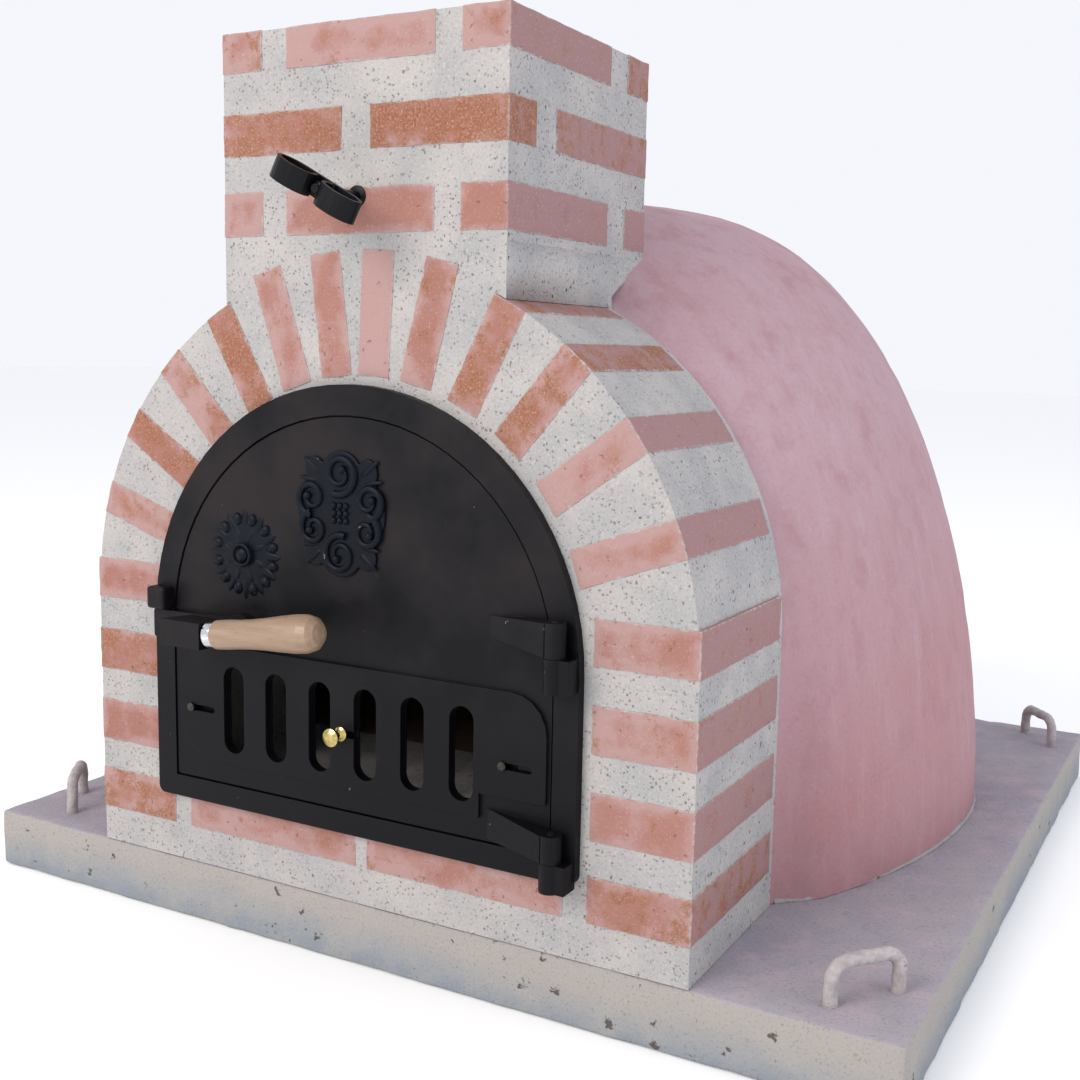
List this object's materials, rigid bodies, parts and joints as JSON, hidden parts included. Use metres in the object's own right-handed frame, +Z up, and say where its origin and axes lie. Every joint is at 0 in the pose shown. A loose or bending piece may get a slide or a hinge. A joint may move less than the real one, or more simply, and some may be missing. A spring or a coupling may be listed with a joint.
{
  "type": "wood fired pizza oven",
  "caption": "Domed wood fired oven on a concrete slab, with a brick arch, a hinged iron door with an air slider and a chimney with a damper.",
  "frame": {"origin": "centre of the slab's underside, on the ground", "axes": "+Z up, the door faces -Y, +X to the right of someone facing the door"},
  "size_m": [1.3, 1.4026, 1.112],
  "materials": {
    "slab_concrete": "rough cast concrete",
    "lime_mortar": "speckled rough mortar",
    "fired_brick": "worn fired clay",
    "pink_lime_render": "brushed lime render",
    "ceramic_fibre": "matt fibre",
    "refractory_clay": "rough",
    "black_cast_iron": "satin black paint",
    "black_steel": "satin black paint",
    "zinc_plated_steel": "satin",
    "chromed_steel": "polished",
    "polished_brass": "polished",
    "beech": "waxed",
    "mortared_rebar": "steel bar caked in mortar"
  },
  "bodies": {
    "oven": {"arch_brick_left_1": "fired_brick", "arch_brick_left_2": "fired_brick", "arch_brick_left_3": "fired_brick", "arch_brick_left_4": "fired_brick", "arch_brick_left_5": "fired_brick", "arch_brick_left_6": "fired_brick", "arch_brick_right_1": "fired_brick", "arch_brick_right_2": "fired_brick", "arch_brick_right_3": "fired_brick", "arch_brick_right_4": "fired_brick", "arch_brick_right_5": "fired_brick", "arch_brick_key": "fired_brick", "pier_brick_left_1": "fired_brick", "pier_brick_left_2": "fired_brick", "pier_brick_left_3": "fired_brick", "pier_brick_right_1": "fired_brick", "pier_brick_right_2": "fired_brick", "pier_brick_right_3": "fired_brick", "base_brick_left": "fired_brick", "base_brick_middle_1": "fired_brick", "base_brick_middle_2": "fired_brick", "base_brick_right": "fired_brick", "chimney_brick_1_left": "fired_brick", "chimney_brick_1_right": "fired_brick", "chimney_brick_1_front": "fired_brick", "chimney_brick_1_back_left": "fired_brick", "chimney_brick_1_back_right": "fired_brick", "chimney_brick_3_left": "fired_brick", "chimney_brick_3_right": "fired_brick", "chimney_brick_3_front": "fired_brick", "chimney_brick_3_back_left": "fired_brick", "chimney_brick_3_back_right": "fired_brick", "chimney_brick_2_front_left": "fired_brick", "chimney_brick_2_front_right": "fired_brick", "chimney_brick_2_left": "fired_brick", "chimney_brick_2_right": "fired_brick", "base_slab": "slab_concrete", "arch_mortar": "lime_mortar", "chimney_mortar": "lime_mortar", "hearth_floor": "refractory_clay", "inner_dome": "refractory_clay", "insulation": "ceramic_fibre", "render_dome": "pink_lime_render", "door_frame": "black_cast_iron", "hinge_pin_top": "zinc_plated_steel", "hinge_pin_bottom": "zinc_plated_steel", "lifting_loop_fl": "mortared_rebar", "lifting_loop_fr": "mortared_rebar", "lifting_loop_rl": "mortared_rebar", "lifting_loop_rr": "mortared_rebar"},
    "door": {"door_leaf": "black_cast_iron"},
    "latch": {"latch_lever": "black_cast_iron", "handle_ferrule": "chromed_steel", "handle_grip": "beech"},
    "air_slider": {"vent_slider": "black_cast_iron", "vent_bolt_left": "zinc_plated_steel", "vent_bolt_right": "zinc_plated_steel", "vent_knob": "polished_brass"},
    "damper": {"damper_handle": "black_steel", "damper_spindle": "black_steel"}
  },
  "joints": [
    {"name": "door_swing", "type": "hinge", "parent": "oven", "child": "door", "pos_m": [0.262, -0.676, 0.2], "axis": [0, 0, 1], "range_deg": [0, 120]},
    {"name": "latch_lift", "type": "hinge", "parent": "door", "child": "latch", "pos_m": [-0.178, -0.668, 0.406], "axis": [0, -1, 0], "range_deg": [0, 20]},
    {"name": "vent_slide", "type": "slide", "parent": "door", "child": "air_slider", "axis": [1, 0, 0], "range_m": [0, 0.0335]},
    {"name": "damper_turn", "type": "hinge", "parent": "oven", "child": "damper", "pos_m": [-0.0166, -0.65, 0.92], "axis": [0, 1, 0], "range_deg": [-28, 62]}
  ]
}
